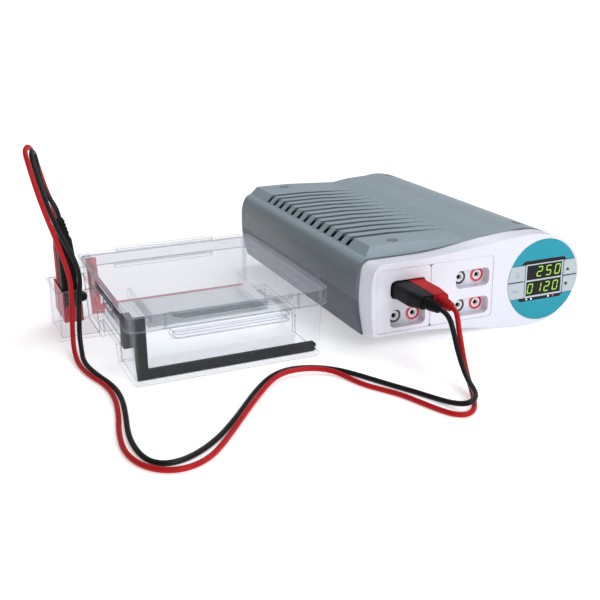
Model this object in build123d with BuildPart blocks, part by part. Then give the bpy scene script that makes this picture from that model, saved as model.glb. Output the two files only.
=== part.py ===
from build123d import *
import math
import os

os.makedirs("parts", exist_ok=True)

# Electrophoresis system: a mains power supply and a clear gel tank with lid, joined by a black and a red lead.
# Millimetres, +Z up, table at z = 0, front faces -Y. The origin is the bottom centre of the box round supply and tank.

# ---- driving dimensions ----
OX, OY = 38.0, -149.5            # supply datum: lower left socket column, face plane of the bezel
TANK_X, TANK_Y = -241.4, 11.7    # front left corner of the lid, from the supply datum
LID_W, LID_D = 180.4, 204.7      # lid, outside
LID_BOTTOM, LID_TOP = 49.0, 63.9
LID_WALL = 2.5
BODY_TOP = 60.9
BODY_INSET_BOTTOM, BODY_INSET_TOP = 5.8, 3.2
TANK_WALL = 3.0
SUPPLY_DEPTH = 300.0
BEZEL_DEPTH = 12.0
BASE_Z = 15.0
PARTING_Z = 48.5
SHELL = 3.0
SOCKET_PITCH = 19.05
SOCKET_X = (0.0, 66.9)           # black socket columns; red ones stand one pitch to the right
SOCKET_Z = (29.5, 56.5)
SOCKET_FLOOR = 9.0               # depth of the recess floor behind the face
CONTACT_R = 2.0
DISC_X, DISC_Z, DISC_R = 154.8, 44.8, 39.5
KEY_TRAVEL = 0.7
LEAD_D = 4.4
LEAD_Z = LEAD_D / 2 + 0.05
VENT_COUNT, VENT_PITCH, VENT_Y0, VENT_W = 13, 16.0, 56.5, 6.5

TX, TY = OX + TANK_X, OY + TANK_Y
SUPPLY = Plane(origin=(OX, OY, 0))
TANK = Plane(origin=(TX, TY, 0))


def front(y):
    # plane facing the front at depth y of the supply: local x = X, local y = Z, extrude runs to the front
    return Plane(origin=(OX, OY + y, 0), x_dir=(1, 0, 0), z_dir=(0, -1, 0))


def side(x):
    # plane facing right at x of the supply: local x = Y, local y = Z, extrude runs to the right
    return Plane(origin=(OX + x, OY, 0), x_dir=(0, 1, 0), z_dir=(1, 0, 0))


def top(z):
    return Plane(origin=(OX, OY, z))


def tank_top(z):
    return Plane(origin=(TX, TY, z))


def tank_front(y):
    return Plane(origin=(TX, TY + y, 0), x_dir=(1, 0, 0), z_dir=(0, -1, 0))


def tank_side(x):
    return Plane(origin=(TX + x, TY, 0), x_dir=(0, 1, 0), z_dir=(1, 0, 0))


def block(x0, x1, y0, y1, z0, z1, mode=Mode.ADD):
    # axis-aligned block between two corners, in the frame of the part being made
    with Locations(((x0 + x1) / 2, (y0 + y1) / 2, (z0 + z1) / 2)):
        Box(x1 - x0, y1 - y0, z1 - z0, mode=mode)


def rod_y(x, z, r, y0, y1, mode=Mode.ADD):
    # round bar along Y
    with Locations(Location((x, (y0 + y1) / 2, z), (90, 0, 0))):
        Cylinder(r, y1 - y0, mode=mode)


def rod_z(x, y, r, z0, z1, mode=Mode.ADD):
    with Locations((x, y, (z0 + z1) / 2)):
        Cylinder(r, z1 - z0, mode=mode)


def rod_x(y, z, r, x0, x1, mode=Mode.ADD):
    with Locations(Location(((x0 + x1) / 2, y, z), (0, 90, 0))):
        Cylinder(r, x1 - x0, mode=mode)


def done(builder, name):
    builder.part.label = name
    export_step(builder.part, f"parts/{name}.step")


# ======================================================================
# Power supply: shells
# ======================================================================

# outline of the face (front edge of the bezel) and of its rear edge, as matching runs, x and z
FACE_RUNS = [
    [(-25.5, 18.0), (-26.8, 30.0), (-27.2, 50.0), (-26.8, 66.0), (-24.5, 76.0)],
    [(-24.5, 76.0), (-19.0, 80.8), (-10.0, 81.8)],
    [(-10.0, 81.8), (30.3, 82.1)],
    [(30.3, 82.1), (71.5, 85.2), (88.4, 86.7), (114.2, 89.3), (136.0, 90.6)],
    [(136.0, 90.6), (149.4, 89.9), (168.3, 84.7), (182.0, 76.5), (190.4, 67.7), (195.2, 56.5), (196.1, 46.3),
     (192.6, 33.0), (184.4, 19.7), (173.0, 9.3), (157.4, 2.9)],
    [(157.4, 2.9), (139.0, 1.1), (120.7, 1.9), (98.9, 4.6), (67.1, 9.5), (33.0, 13.3), (0.0, 14.1)],
    [(0.0, 14.1), (-20.0, 14.2)],
    [(-20.0, 14.2), (-24.0, 15.2), (-25.5, 18.0)],
]
REAR_RUNS = [
    [(-30.0, 18.0), (-32.0, 30.0), (-34.0, 48.0), (-33.7, 60.0), (-32.0, 74.5)],
    [(-32.0, 74.5), (-29.5, 80.5), (-24.0, 83.3)],
    [(-24.0, 83.3), (21.0, 83.3)],
    [(21.0, 83.3), (47.3, 85.1), (70.7, 88.2), (104.0, 91.8), (136.0, 92.4)],
    [(136.0, 92.4), (150.0, 91.2), (168.3, 85.0), (182.0, 76.6), (190.4, 67.7), (195.2, 56.5), (196.1, 46.3),
     (192.6, 33.0), (184.4, 19.7), (173.0, 9.3), (157.4, 2.9)],
    [(157.4, 2.9), (139.0, 1.1), (120.7, 1.9), (98.9, 4.6), (67.1, 9.5), (33.0, 13.3), (0.0, 14.1)],
    [(0.0, 14.1), (-24.0, 14.2)],
    [(-24.0, 14.2), (-28.6, 15.2), (-30.0, 18.0)],
]
BEZEL_HOLLOW = [
    (-24, 18.5), (-24.6, 30), (-25.5, 48.5), (-25.2, 60), (-24.4, 70), (-24.0, 77.5), (-20, 79.6), (21, 79.9), (47, 81.9),
    (70, 85), (96, 88.5), (122, 89), (148, 88), (164, 82), (178, 74), (186, 66), (191, 55), (191.3, 48.5),
    (190, 40), (186, 30), (180, 21.5), (176, 18.5),
]
PLATE_Z = (17.5, 75.3)
PLATE_LEFT_X = (-21.5, 32.05)
PLATE_RIGHT_X = (32.55, 98.0)

with BuildPart() as ps_front_bezel:
    for y, runs in ((BEZEL_DEPTH, REAR_RUNS), (0.0, FACE_RUNS)):
        with BuildSketch(front(y)):
            with BuildLine():
                for run in runs:
                    if len(run) == 2:
                        Line(*run)
                    else:
                        Spline(*run)
            make_face()
    loft(ruled=True)
    # hollow behind the 5 mm front wall
    with BuildSketch(front(BEZEL_DEPTH)):
        with BuildLine():
            Polyline(*BEZEL_HOLLOW, close=True)
        make_face()
    extrude(amount=BEZEL_DEPTH - 5.0, mode=Mode.SUBTRACT)
    # window for the two socket plates
    with BuildSketch(front(6.0)):
        with Locations(((PLATE_LEFT_X[0] + PLATE_RIGHT_X[1]) / 2, sum(PLATE_Z) / 2)):
            RectangleRounded(PLATE_RIGHT_X[1] - PLATE_LEFT_X[0] + 0.24, PLATE_Z[1] - PLATE_Z[0] + 0.24, 3.1)
    extrude(amount=7.0, mode=Mode.SUBTRACT)
    # round seat of the control disc and the hole behind it
    with BuildSketch(front(3.0)):
        with Locations((DISC_X, DISC_Z)):
            Circle(DISC_R + 0.1)
    extrude(amount=4.0, mode=Mode.SUBTRACT)
    with BuildSketch(front(5.5)):
        with Locations((DISC_X, DISC_Z)):
            Circle(DISC_R - 3.5)
    extrude(amount=4.0, mode=Mode.SUBTRACT)
done(ps_front_bezel, "ps_front_bezel")

COVER_SIDE_L = [(-37, PARTING_Z), (-37, 60), (-36.2, 70), (-33.8, 77.5)]
COVER_TOP = [(-25.2, 85), (20, 84.8), (47, 86.3), (66, 88), (78, 88.9), (96, 91.6), (122, 92.8)]
COVER_SIDE_R = [(122, 92.8), (149, 92.2), (165, 86.6), (179, 78.6), (188, 69.5), (193.6, 57.5), (194.8, PARTING_Z)]
COVER_HOLLOW = [
    (-32, PARTING_Z), (-32, 60), (-31, 70), (-29.4, 76), (-24, 82), (20, 81.8), (47, 83.3), (66, 85), (78, 85.9),
    (96, 88.6), (122, 89.8), (148, 89.2), (163.4, 84), (177, 76), (185.4, 67.8), (190.6, 56.6), (191.8, PARTING_Z),
]
PAD = [(-25.2, 85.0), (-17.2, 92.3), (20, 92.2), (78, 88.9), (78, 84), (-24, 84)]
PAD_HOLLOW = [(-21.6, 81.5), (-15.6, 89.2), (20, 89.1), (66, 86.4), (66, 81.5)]
BEVEL_HOLLOW = [(-24.0, 84.4), (-19.0, 88.9), (-12.0, 88.9), (-12.0, 81.0), (-24.0, 81.0)]
GROOVE = [(-40, 90.0), (22, 90.0), (76, 88.75), (76, 96), (-40, 96)]
# place of each cover screw, floor of its recess and top of the pillar below
COVER_SCREWS = [(10.0, 33.0, 90.7, 89.0), (10.0, 285.0, 90.7, 89.0), (146.0, 33.0, 91.0, 88.3), (146.0, 285.0, 91.0, 88.3)]

with BuildPart() as ps_top_cover:
    with BuildSketch(front(SUPPLY_DEPTH)):
        with BuildLine():
            Polyline(*PAD, close=True)
        make_face()
    extrude(amount=SUPPLY_DEPTH - BEZEL_DEPTH - 0.8)
    # sloping front end of the raised pad
    with BuildSketch(side(-40)):
        with BuildLine():
            Polyline((12.0, 82.0), (16.5, 82.0), (16.5, 85.0), (24.0, 92.6), (24.0, 96.0), (12.0, 96.0), close=True)
        make_face()
    extrude(amount=118.2, mode=Mode.SUBTRACT)
    with BuildSketch(front(SUPPLY_DEPTH)):
        with BuildLine():
            Spline(*COVER_SIDE_L)
            Spline((-33.8, 77.5), (-31.2, 81.8), (-25.2, 85))
            Polyline(*COVER_TOP)
            Spline(*COVER_SIDE_R)
            Line((194.8, PARTING_Z), (-37, PARTING_Z))
        make_face()
    extrude(amount=SUPPLY_DEPTH - BEZEL_DEPTH)
    # inside of the shell and of the pad
    with BuildSketch(front(SUPPLY_DEPTH + 1)):
        with BuildLine():
            Polyline(*COVER_HOLLOW, close=True)
        make_face()
    extrude(amount=SUPPLY_DEPTH - BEZEL_DEPTH + 2, mode=Mode.SUBTRACT)
    with BuildSketch(front(290.0)):
        with BuildLine():
            Polyline(*PAD_HOLLOW, close=True)
        make_face()
    extrude(amount=263.0, mode=Mode.SUBTRACT)
    # thin wall behind the bevelled side
    with BuildSketch(front(254.0)):
        with BuildLine():
            Polyline(*BEVEL_HOLLOW, close=True)
        make_face()
    extrude(amount=204.0, mode=Mode.SUBTRACT)
    # vent slots: a groove across the pad and a slot through its bevelled side
    for i in range(VENT_COUNT):
        yc = OY + VENT_Y0 + i * VENT_PITCH
        with BuildSketch(front(VENT_Y0 + i * VENT_PITCH + VENT_W / 2)):
            with BuildLine():
                Polyline(*GROOVE, close=True)
            make_face()
        extrude(amount=VENT_W, mode=Mode.SUBTRACT)
        block(OX - 26.4, OX - 15.0, yc - VENT_W / 2, yc + VENT_W / 2, 85.3, 90.5, Mode.SUBTRACT)
    # screw recesses
    for x, y, z, zp in COVER_SCREWS:
        rod_z(OX + x, OY + y, 5.0, z, 98.0, Mode.SUBTRACT)
        rod_z(OX + x, OY + y, 1.7, z - 6.0, z + 1, Mode.SUBTRACT)
done(ps_top_cover, "ps_top_cover")

BASE_OUT_L = [(-31, BASE_Z), (-35, 30), (-37, PARTING_Z)]
BASE_OUT_R = [(194.8, PARTING_Z), (193.5, 40), (189.5, 29), (183, 20), (176, BASE_Z)]
BASE_HOLLOW = [
    (-32, PARTING_Z), (-30.2, 31), (-27.0, 18), (174.8, 18), (180.8, 22.2), (186.8, 30.4), (190.6, 41),
    (191.8, PARTING_Z),
]
FEET = [(22.0, 58.0), (22.0, 262.0), (150.0, 58.0), (150.0, 262.0)]
BOARD_POSTS = [(-14.0, 66.0), (98.0, 66.0), (-14.0, 164.0), (98.0, 164.0)]

with BuildPart() as ps_base_tray:
    with BuildSketch(front(SUPPLY_DEPTH)):
        with BuildLine():
            Spline(*BASE_OUT_L)
            Line((-37, PARTING_Z), (194.8, PARTING_Z))
            Spline(*BASE_OUT_R)
            Line((176, BASE_Z), (-31, BASE_Z))
        make_face()
    extrude(amount=SUPPLY_DEPTH - BEZEL_DEPTH)
    with BuildSketch(front(SUPPLY_DEPTH + 1)):
        with BuildLine():
            Polyline(*BASE_HOLLOW, close=True)
        make_face()
    extrude(amount=SUPPLY_DEPTH - BEZEL_DEPTH + 2, mode=Mode.SUBTRACT)
    for x, y in BOARD_POSTS:
        rod_z(OX + x, OY + y, 3.0, 17.0, 24.0)
    # air slots in the floor
    for i in range(7):
        block(OX + 66, OX + 106, OY + 190 + i * 9, OY + 193 + i * 9, 10, 20, Mode.SUBTRACT)
    # seats of the feet
    for x, y in FEET:
        rod_z(OX + x, OY + y, 3.1, 14, 19, Mode.SUBTRACT)
done(ps_base_tray, "ps_base_tray")

with BuildPart(SUPPLY) as ps_feet:
    # a rubber foot with a stem that pushes into the floor of the base
    for x, y in FEET:
        rod_z(x, y, 9.0, 0.0, BASE_Z)
        rod_z(x, y, 3.0, BASE_Z, 17.9)
    chamfer(ps_feet.faces().filter_by(Axis.Z).group_by(Axis.Z)[0].edges(), 1.2)
done(ps_feet, "ps_feet")

with BuildPart(SUPPLY) as cover_posts:
    # hexagonal pillars between the floor of the base and the cover
    for x, y, z, zp in COVER_SCREWS:
        with BuildSketch(top(18.05)):
            with Locations((x, y)):
                RegularPolygon(4.2, 6)
        extrude(amount=zp - 18.05)
    for x, y, z, zp in COVER_SCREWS:
        rod_z(x, y, 1.6, z - 18, z, Mode.SUBTRACT)
done(cover_posts, "cover_posts")

with BuildPart(SUPPLY) as cover_screws:
    for x, y, z, zp in COVER_SCREWS:
        rod_z(x, y, 3.9, z + 0.02, z + 1.5)
        rod_z(x, y, 1.5, z - 14, z + 0.1)
    for x, y, z, zp in COVER_SCREWS:
        block(x - 2.2, x + 2.2, y - 0.4, y + 0.4, z + 0.5, z + 2, Mode.SUBTRACT)
        block(x - 0.4, x + 0.4, y - 2.2, y + 2.2, z + 0.5, z + 2, Mode.SUBTRACT)
done(cover_screws, "cover_screws")

# ---- rear panel and what it carries ----
PANEL_Y = (294.0, 296.5)
INLET_X, INLET_Z = 31.0, 46.0
SWITCH_X, SWITCH_Z = 65.0, 46.0
FAN_X, FAN_Z = 106.0, 51.0
REAR_OUTLINE = COVER_HOLLOW + [(190.6, 41), (186.8, 30.4), (180.8, 22.2), (174.8, 18), (-27.0, 18), (-30.2, 31)]

with BuildPart() as rear_panel:
    with BuildSketch(front(PANEL_Y[1])):
        with BuildLine():
            Polyline(*REAR_OUTLINE, close=True)
        make_face()
        offset(amount=-0.15)
        with Locations((INLET_X, INLET_Z)):
            Rectangle(30.2, 30.2, mode=Mode.SUBTRACT)
        with Locations((SWITCH_X, SWITCH_Z)):
            Rectangle(13.2, 22.2, mode=Mode.SUBTRACT)
        with Locations((FAN_X, FAN_Z)):
            Circle(28.0, mode=Mode.SUBTRACT)
        with Locations((FAN_X, FAN_Z)):
            with GridLocations(50, 50, 2, 2):
                Circle(2.2, mode=Mode.SUBTRACT)
        with Locations((INLET_X - 20, INLET_Z), (INLET_X + 20, INLET_Z)):
            Circle(1.7, mode=Mode.SUBTRACT)
    extrude(amount=PANEL_Y[1] - PANEL_Y[0])
done(rear_panel, "rear_panel")

with BuildPart(SUPPLY) as mains_inlet:
    # flange, body, plug recess and the slot of the fuse drawer
    block(INLET_X - 25, INLET_X + 25, 296.5, 298.0, INLET_Z - 16, INLET_Z + 16)
    block(INLET_X - 15, INLET_X + 15, 274.0, 296.6, INLET_Z - 15, INLET_Z + 15)
    with BuildSketch(front(299)):
        with BuildLine():
            Polyline((19, 59.2), (43, 59.2), (43, 47.2), (38.6, 42.8), (23.4, 42.8), (19, 47.2), close=True)
        make_face()
    extrude(amount=17.0, mode=Mode.SUBTRACT)
    block(INLET_X - 12.2, INLET_X + 12.2, 277.0, 299, 32.6, 40.4, Mode.SUBTRACT)
    for x in (INLET_X - 20, INLET_X + 20):
        rod_y(x, INLET_Z, 1.7, 296, 299, Mode.SUBTRACT)
    # slits for the three blades
    for x, z in ((24.0, 50.0), (38.0, 50.0), (31.0, 54.0)):
        block(x - 1.05, x + 1.05, 270, 283, z - 2.1, z + 2.1, Mode.SUBTRACT)
done(mains_inlet, "mains_inlet")

with BuildPart(SUPPLY) as inlet_pins:
    for x, z in ((24.0, 50.0), (38.0, 50.0), (31.0, 54.0)):
        block(x - 1.0, x + 1.0, 268.0, 296.0, z - 2.0, z + 2.0)
done(inlet_pins, "inlet_pins")

with BuildPart(SUPPLY) as fuse_drawer:
    block(INLET_X - 11.9, INLET_X + 11.9, 279.0, 298.2, 32.9, 40.1)
    block(INLET_X - 11.9, INLET_X + 11.9, 298.2, 299.0, 32.9, 40.1)
    for y in (285.0, 292.0):
        block(INLET_X - 10.4, INLET_X + 10.4, y - 2.8, y + 2.8, 33.9, 41, Mode.SUBTRACT)
    # finger notch of the drawer front
    block(INLET_X - 3, INLET_X + 3, 298.3, 299.5, 38.6, 41, Mode.SUBTRACT)
done(fuse_drawer, "fuse_drawer")

with BuildPart(SUPPLY) as fuses:
    for y in (285.0, 292.0):
        rod_x(y, 36.6, 2.5, INLET_X - 10.0, INLET_X - 4.5)
        rod_x(y, 36.6, 2.2, INLET_X - 4.5, INLET_X + 4.5)
        rod_x(y, 36.6, 2.5, INLET_X + 4.5, INLET_X + 10.0)
done(fuses, "fuses")

with BuildPart(SUPPLY) as switch_body:
    block(SWITCH_X - 8, SWITCH_X + 8, 296.5, 297.6, SWITCH_Z - 13, SWITCH_Z + 13)
    block(SWITCH_X - 6.5, SWITCH_X + 6.5, 280.0, 296.6, SWITCH_Z - 11, SWITCH_Z + 11)
    block(SWITCH_X - 5.2, SWITCH_X + 5.2, 284.0, 299, SWITCH_Z - 9.8, SWITCH_Z + 9.8, Mode.SUBTRACT)
    rod_x(292.0, SWITCH_Z, 1.3, SWITCH_X - 6.0, SWITCH_X + 6.0, Mode.SUBTRACT)
    for z in (-6, 0, 6):
        block(SWITCH_X - 0.4, SWITCH_X + 0.4, 272.0, 280.5, SWITCH_Z + z - 2.4, SWITCH_Z + z + 2.4)
done(switch_body, "switch_body")

ROCKER_TILT = 8.0
rock = math.radians(-ROCKER_TILT)
ROCKER = [(4.2, 0.0), (5.4, 8.9), (-1.0, 8.9), (-4.0, 3.0), (-4.0, -3.0), (-1.0, -8.9), (5.4, -8.9)]
ROCKER_REST = [
    (292.0 + a * math.cos(rock) - b * math.sin(rock), SWITCH_Z + a * math.sin(rock) + b * math.cos(rock))
    for a, b in ROCKER
]

with BuildPart() as power_rocker:
    with BuildSketch(side(SWITCH_X - 4.9)):
        with BuildLine():
            Polyline(*ROCKER_REST, close=True)
        make_face()
    extrude(amount=9.8)
    with BuildSketch(side(SWITCH_X - 5.8)):
        with Locations((292.0, SWITCH_Z)):
            Circle(1.2)
    extrude(amount=11.6)
done(power_rocker, "power_rocker")

with BuildPart(SUPPLY) as fan_frame:
    block(FAN_X - 30, FAN_X + 30, 269.0, 294.0, FAN_Z - 30, FAN_Z + 30)
    rod_y(FAN_X, FAN_Z, 28.5, 268, 295, Mode.SUBTRACT)
    # motor seat on four struts at the inner side
    rod_y(FAN_X, FAN_Z, 13.0, 269.0, 272.0)
    for a in (45, 135, 225, 315):
        with Locations(Location((FAN_X, 270.0, FAN_Z), (0, a, 0))):
            with Locations((21.0, 0, 0)):
                Box(18.0, 2.0, 3.0)
    rod_y(FAN_X, FAN_Z, 1.6, 268, 273, Mode.SUBTRACT)
    with Locations((FAN_X, 0, FAN_Z)):
        for sx in (-25, 25):
            for sz in (-25, 25):
                rod_y(sx, sz, 2.15, 268, 295, Mode.SUBTRACT)
done(fan_frame, "fan_frame")

FAN_BLADES = 7
with BuildPart(SUPPLY) as fan_rotor:
    rod_y(FAN_X, FAN_Z, 13.0, 273.0, 290.0)
    rod_y(FAN_X, FAN_Z, 1.4, 269.5, 274.0)
    for i in range(FAN_BLADES):
        with Locations(Location((FAN_X, 281.5, FAN_Z), (0, i * 360 / FAN_BLADES, 0))):
            with Locations(Location((19.8, 0, 0), (38, 0, 0))):
                Box(15.2, 1.4, 17.0)
done(fan_rotor, "fan_rotor")

with BuildPart(SUPPLY) as fan_guard:
    for r in (9.0, 18.0, 27.0):
        with Locations(Location((FAN_X, 297.27, FAN_Z), (90, 0, 0))):
            Torus(r, 0.72)
    for a in (45, 135):
        with Locations(Location((FAN_X, 297.27, FAN_Z), (0, a, 0))):
            Box(64.6, 1.4, 1.4)
    for sx in (-25, 25):
        for sz in (-25, 25):
            rod_y(FAN_X + sx, FAN_Z + sz, 3.6, 296.52, 298.0)
    for sx in (-25, 25):
        for sz in (-25, 25):
            rod_y(FAN_X + sx, FAN_Z + sz, 2.2, 296, 299, Mode.SUBTRACT)
done(fan_guard, "fan_guard")

with BuildPart(SUPPLY) as panel_screws:
    for sx in (-25, 25):
        for sz in (-25, 25):
            rod_y(FAN_X + sx, FAN_Z + sz, 3.4, 298.02, 299.8)
            rod_y(FAN_X + sx, FAN_Z + sz, 2.0, 276.0, 298.1)
    for x in (INLET_X - 20, INLET_X + 20):
        rod_y(x, INLET_Z, 2.8, 298.02, 299.6)
        rod_y(x, INLET_Z, 1.5, 290.0, 298.1)
    for x, z in [(FAN_X + sx, FAN_Z + sz) for sx in (-25, 25) for sz in (-25, 25)] + [
            (INLET_X - 20, INLET_Z), (INLET_X + 20, INLET_Z)]:
        block(x - 2.0, x + 2.0, 298.9, 300.5, z - 0.4, z + 0.4, Mode.SUBTRACT)
        block(x - 0.4, x + 0.4, 298.9, 300.5, z - 2.0, z + 2.0, Mode.SUBTRACT)
done(panel_screws, "panel_screws")

# ---- socket plates and sockets ----
for name, (px0, px1), cx in (
        ("socket_plate_left", PLATE_LEFT_X, SOCKET_X[0]), ("socket_plate_right", PLATE_RIGHT_X, SOCKET_X[1])):
    with BuildPart() as plate:
        with BuildSketch(front(5.0)):
            with Locations(((px0 + px1) / 2, sum(PLATE_Z) / 2)):
                RectangleRounded(px1 - px0, PLATE_Z[1] - PLATE_Z[0], 3.0)
        extrude(amount=4.7)
        # holding rim behind the front wall of the bezel
        with BuildSketch(front(6.6)):
            if cx == 0.0:
                with Locations(((px0 - 1.8 + px1) / 2, 48.0)):
                    Rectangle(px1 - px0 + 1.8, 58.4)
            else:
                with Locations(((px1 + 1.8 + px0) / 2, 48.0)):
                    Rectangle(px1 - px0 + 1.8, 58.4)
        extrude(amount=1.6)
        for z in SOCKET_Z:
            with BuildSketch(front(SOCKET_FLOOR + 1.5)):
                with Locations((cx + SOCKET_PITCH / 2, z)):
                    RectangleRounded(38.6, 19.4, 6.0)
            extrude(amount=5.0)
        for z in SOCKET_Z:
            with BuildSketch(front(SOCKET_FLOOR)):
                with Locations((cx + SOCKET_PITCH / 2, z)):
                    RectangleRounded(35.8, 16.7, 5.0)
            extrude(amount=10.0, mode=Mode.SUBTRACT)
            with BuildSketch(front(SOCKET_FLOOR + 2)):
                with Locations((cx, z), (cx + SOCKET_PITCH, z)):
                    Circle(5.95)
            extrude(amount=4.0, mode=Mode.SUBTRACT)
    plate.part.label = name
    export_step(plate.part, f"parts/{name}.step")

for name, dx in (("black_sockets", 0.0), ("red_sockets", SOCKET_PITCH)):
    with BuildPart(SUPPLY) as rings:
        for x in SOCKET_X:
            for z in SOCKET_Z:
                rod_y(x + dx, z, 6.5, SOCKET_FLOOR - 1.0, SOCKET_FLOOR - 0.02)
                rod_y(x + dx, z, 5.85, SOCKET_FLOOR - 0.1, 30.0)
        for x in SOCKET_X:
            for z in SOCKET_Z:
                rod_y(x + dx, z, 4.6, 0.0, 31.0, Mode.SUBTRACT)
    rings.part.label = name
    export_step(rings.part, f"parts/{name}.step")

SOCKET_POINTS = [(x + dx, z) for x in SOCKET_X for dx in (0.0, SOCKET_PITCH) for z in SOCKET_Z]
with BuildPart(SUPPLY) as socket_inserts:
    for x, z in SOCKET_POINTS:
        rod_y(x, z, 4.55, SOCKET_FLOOR - 0.6, 31.5)
    for x, z in SOCKET_POINTS:
        rod_y(x, z, 2.75, 0.0, 33.0, Mode.SUBTRACT)
done(socket_inserts, "socket_inserts")

with BuildPart(SUPPLY) as socket_contacts:
    for x, z in SOCKET_POINTS:
        rod_y(x, z, 2.7, SOCKET_FLOOR + 1.4, 36.0)
        block(x - 1.4, x + 1.4, 36.0, 41.0, z - 0.4, z + 0.4)
    for x, z in SOCKET_POINTS:
        rod_y(x, z, CONTACT_R, 0.0, 34.5, Mode.SUBTRACT)
done(socket_contacts, "socket_contacts")

# ---- round control panel ----
BAND = (28.2, 61.3)              # bottom and top of the band that holds keys and displays
FRAME_X = (134.9, 177.6)
UPPER_WINDOW = (136.3, 176.2, 45.6, 60.0)
LOWER_WINDOW = (136.3, 176.2, 30.0, 44.2)
TOP_BAR = [(129.8, 61.3), (181.5, 61.3), (178.2, 64.6), (133.4, 64.6)]
BOTTOM_BAR = [(127.6, 28.2), (178.9, 28.2), (176.4, 25.2), (130.4, 25.2)]
LEDS = [(137.8, 26.9), (142.9, 26.9), (162.8, 26.9), (168.1, 26.9)]
KEYS = {
    "key_mode": (113.0, 133.9, 45.9, 60.8), "key_timer": (113.0, 133.9, 28.8, 44.7),
    "key_up": (178.6, 197.0, 45.9, 60.8), "key_down": (178.6, 197.0, 28.8, 44.7),
}
KEY_STEMS = {"key_mode": (127.0, 53.0), "key_timer": (127.0, 37.0), "key_up": (180.6, 53.0), "key_down": (180.6, 37.0)}

with BuildPart() as panel_carrier:
    with BuildSketch(front(3.0)):
        with Locations((DISC_X, DISC_Z)):
            Circle(DISC_R)
        for x0, x1, z0, z1 in (UPPER_WINDOW, LOWER_WINDOW):
            with Locations(((x0 + x1) / 2, (z0 + z1) / 2)):
                Rectangle(x1 - x0 - 3.0, z1 - z0 - 2.4, mode=Mode.SUBTRACT)
        with Locations(*KEY_STEMS.values()):
            Circle(3.0, mode=Mode.SUBTRACT)
        with Locations(*LEDS):
            Circle(0.85, mode=Mode.SUBTRACT)
    extrude(amount=1.2)
done(panel_carrier, "panel_carrier")

with BuildPart() as panel_disc:
    with BuildSketch(front(1.78)):
        with Locations((DISC_X, DISC_Z)):
            Circle(DISC_R)
        with Locations((DISC_X, sum(BAND) / 2)):
            Rectangle(100.0, BAND[1] - BAND[0], mode=Mode.SUBTRACT)
        with BuildLine():
            Polyline(*TOP_BAR, close=True)
        make_face(mode=Mode.SUBTRACT)
        with BuildLine():
            Polyline(*BOTTOM_BAR, close=True)
        make_face(mode=Mode.SUBTRACT)
    extrude(amount=1.58)
done(panel_disc, "panel_disc")

with BuildPart() as indicator_bars:
    with BuildSketch(front(1.78)):
        with BuildLine():
            Polyline(*TOP_BAR, close=True)
        make_face()
        with BuildLine():
            Polyline(*BOTTOM_BAR, close=True)
        make_face()
        offset(amount=-0.06)
        with Locations(*LEDS):
            Circle(0.85, mode=Mode.SUBTRACT)
    extrude(amount=1.6)
done(indicator_bars, "indicator_bars")

with BuildPart(SUPPLY) as status_leds:
    for x, z in LEDS:
        rod_y(x, z, 0.78, 0.1, 8.9)
done(status_leds, "status_leds")

with BuildPart() as display_frame:
    with BuildSketch(front(1.78)):
        with Locations((sum(FRAME_X) / 2, sum(BAND) / 2)):
            RectangleRounded(FRAME_X[1] - FRAME_X[0], BAND[1] - BAND[0] - 0.4, 0.8)
        for x0, x1, z0, z1 in (UPPER_WINDOW, LOWER_WINDOW):
            with Locations(((x0 + x1) / 2, (z0 + z1) / 2)):
                Rectangle(x1 - x0, z1 - z0, mode=Mode.SUBTRACT)
    extrude(amount=1.78)
done(display_frame, "display_frame")

with BuildPart() as display_lenses:
    with BuildSketch(front(1.78)):
        for x0, x1, z0, z1 in (UPPER_WINDOW, LOWER_WINDOW):
            with Locations(((x0 + x1) / 2, (z0 + z1) / 2)):
                Rectangle(x1 - x0 - 0.1, z1 - z0 - 0.1)
    extrude(amount=1.0)
done(display_lenses, "display_lenses")

for name, (kx0, kx1, kz0, kz1) in KEYS.items():
    sx, sz = KEY_STEMS[name]
    with BuildPart() as key:
        with BuildSketch(front(0.95)):
            with Locations((DISC_X, DISC_Z)):
                Circle(DISC_R - 0.2)
            with Locations(((kx0 + kx1) / 2, (kz0 + kz1) / 2)):
                Rectangle(kx1 - kx0, kz1 - kz0, mode=Mode.INTERSECT)
        extrude(amount=1.15)
        with BuildSketch(front(8.0)):
            with Locations((sx, sz)):
                Circle(2.5)
        extrude(amount=7.5)
    key.part.label = name
    export_step(key.part, f"parts/{name}.step")

with BuildPart(SUPPLY) as display_board:
    block(117.0, 183.0, 9.0, 10.6, 27.0, 66.0)
    # two digit blocks behind the windows
    for x0, x1, z0, z1 in (UPPER_WINDOW, LOWER_WINDOW):
        block(x0 + 2, x1 - 2, 3.2, 9.0, z0 + 1.7, z1 - 1.7)
    for x, z in KEY_STEMS.values():
        block(x - 2.3, x + 2.3, 8.75, 9.0, z - 3, z + 3)
done(display_board, "display_board")

# ---- inside of the supply ----
with BuildPart(SUPPLY) as main_board:
    block(-20.0, 104.0, 60.0, 170.0, 24.0, 25.6)
done(main_board, "main_board")

with BuildPart(SUPPLY) as heat_sinks:
    for x in (20.0, 62.0):
        block(x, x + 3, 92.0, 160.0, 25.6, 62.0)
        for i in range(6):
            block(x + 3 - 0.5, x + 16, 94.0 + i * 12.4, 96.0 + i * 12.4, 25.6, 60.0)
done(heat_sinks, "heat_sinks")

with BuildPart(SUPPLY) as capacitors:
    for x, y in ((-6.0, 100.0), (-6.0, 122.0), (-6.0, 144.0)):
        rod_z(x, y, 9.0, 25.6, 58.0)
done(capacitors, "capacitors")

with BuildPart(SUPPLY) as transformer_core:
    block(0.0, 60.0, 200.0, 238.0, 18.0, 68.0)
    block(10.0, 20.0, 199.0, 239.0, 28.0, 58.0, Mode.SUBTRACT)
    block(40.0, 50.0, 199.0, 239.0, 28.0, 58.0, Mode.SUBTRACT)
done(transformer_core, "transformer_core")

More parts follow.
